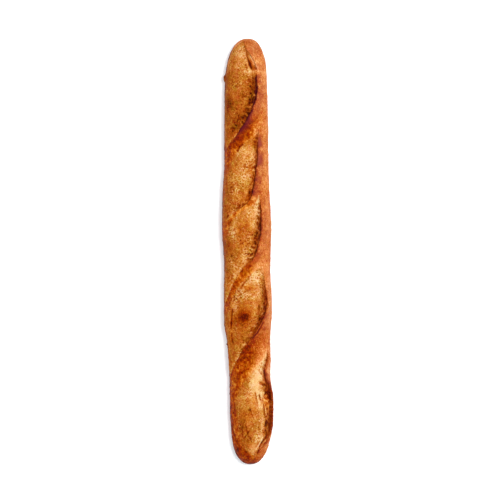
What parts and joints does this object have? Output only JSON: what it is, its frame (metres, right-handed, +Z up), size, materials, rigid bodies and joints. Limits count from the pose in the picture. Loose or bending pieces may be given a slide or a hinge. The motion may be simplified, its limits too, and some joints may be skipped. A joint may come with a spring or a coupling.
{
  "type": "baguette",
  "caption": "Long slim loaf of white bread with round ends, a flat base and slanting baker's cuts that opened along its top, each with a thin raised flap of crust.",
  "frame": {"origin": "on the plane the loaf rests on, under the middle of its box", "axes": "+Y along the loaf, towards the end where the first cut starts; +X across it, on the side where the raised flaps stand; +Z up from the base"},
  "size_m": [0.07, 0.58, 0.0512],
  "materials": {
    "crust": "baked bread crust: golden brown, darker on the raised flaps and underneath, dull with a faint shine"
  },
  "bodies": {
    "root": {"loaf": "crust"}
  },
  "joints": []
}
